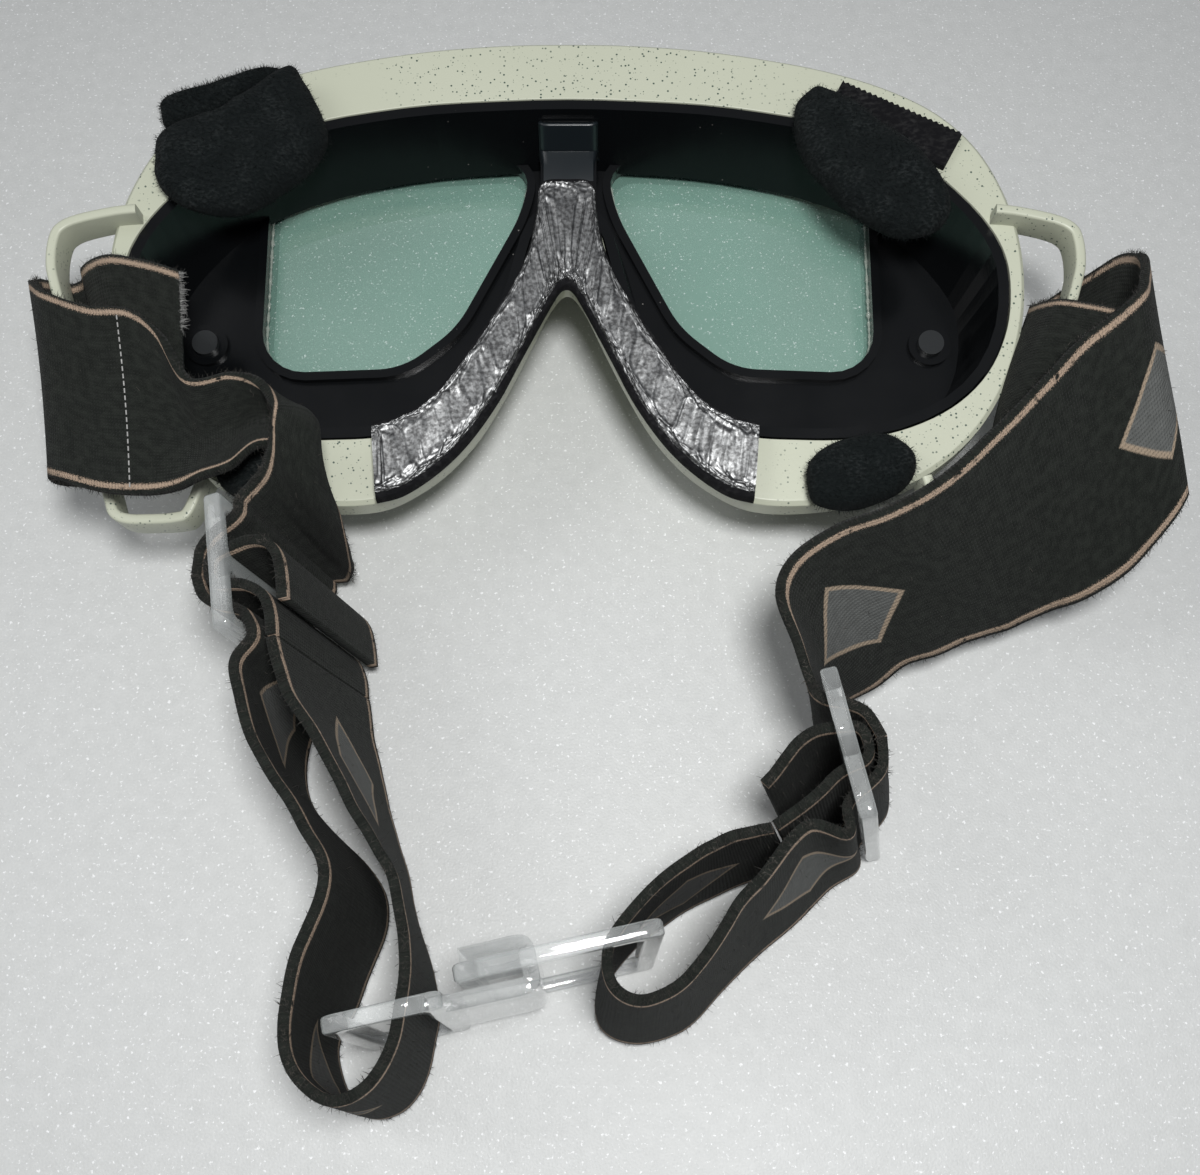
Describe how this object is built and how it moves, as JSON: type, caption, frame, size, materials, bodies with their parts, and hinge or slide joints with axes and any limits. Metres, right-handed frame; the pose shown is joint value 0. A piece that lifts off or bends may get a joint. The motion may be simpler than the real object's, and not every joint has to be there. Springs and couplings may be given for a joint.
{
  "type": "laser safety goggles",
  "caption": "Wide cream goggle shell with a black lens carrier, green glass filters, foil nose pad, felt pads and a looped elastic strap with slides and a hook clip.",
  "frame": {"origin": "centre of the bounding box's footprint, on the plane the front rim lies on", "axes": "+X across the face towards the right strap, +Y up towards the brow, +Z from the front of the goggles to the wearer's face"},
  "size_m": [0.1932, 0.188, 0.0514],
  "materials": {
    "cream_shell": "satin with fine dark speckles",
    "black_carrier": "satin",
    "filter_glass": "polished, pale green",
    "seal": "matt",
    "foam": "open-cell foam",
    "foil": "crinkled foil",
    "hook_tape": "hook-and-loop tape",
    "felt": "fuzzy loop felt",
    "webbing": "woven elastic with tan edge threads",
    "clear_plastic": "clear moulded"
  },
  "bodies": {
    "goggles": {"shell": "cream_shell", "carrier": "black_carrier", "lens_left": "filter_glass", "lens_right": "filter_glass", "lens_seal_left": "seal", "lens_seal_right": "seal", "lens_retainer_left": "black_carrier", "lens_retainer_right": "black_carrier", "carrier_studs": "black_carrier", "nose_pad_foam": "foam", "nose_pad_foil": "foil", "hook_tape_brow_left": "hook_tape", "hook_tape_brow_right": "hook_tape", "hook_tape_cheek_left": "hook_tape", "hook_tape_cheek_right": "hook_tape", "brow_pad_left": "felt", "brow_pad_right": "felt", "cheek_pad_left": "felt", "cheek_pad_right": "felt", "strap_left": "webbing", "strap_right": "webbing", "clip_ring": "clear_plastic"},
    "left_adjuster": {"slide_left": "clear_plastic", "strap_end_left": "webbing"},
    "right_adjuster": {"slide_right": "clear_plastic", "strap_end_right": "webbing"},
    "hook": {"clip_hook": "clear_plastic"}
  },
  "joints": [
    {"name": "slide_left_adjust", "type": "slide", "parent": "goggles", "child": "left_adjuster", "axis": [0.1736, -0.9848, 0], "range_m": [-0.003, 0.01], "deforming": ["strap_left"]},
    {"name": "slide_right_adjust", "type": "slide", "parent": "goggles", "child": "right_adjuster", "axis": [0.196, -0.9806, 0], "range_m": [-0.006, 0.006], "deforming": ["strap_right"]},
    {"name": "clip_release", "type": "slide", "parent": "goggles", "child": "hook", "axis": [0.9763, 0.2164, 0], "range_m": [0, 0.0045]}
  ]
}
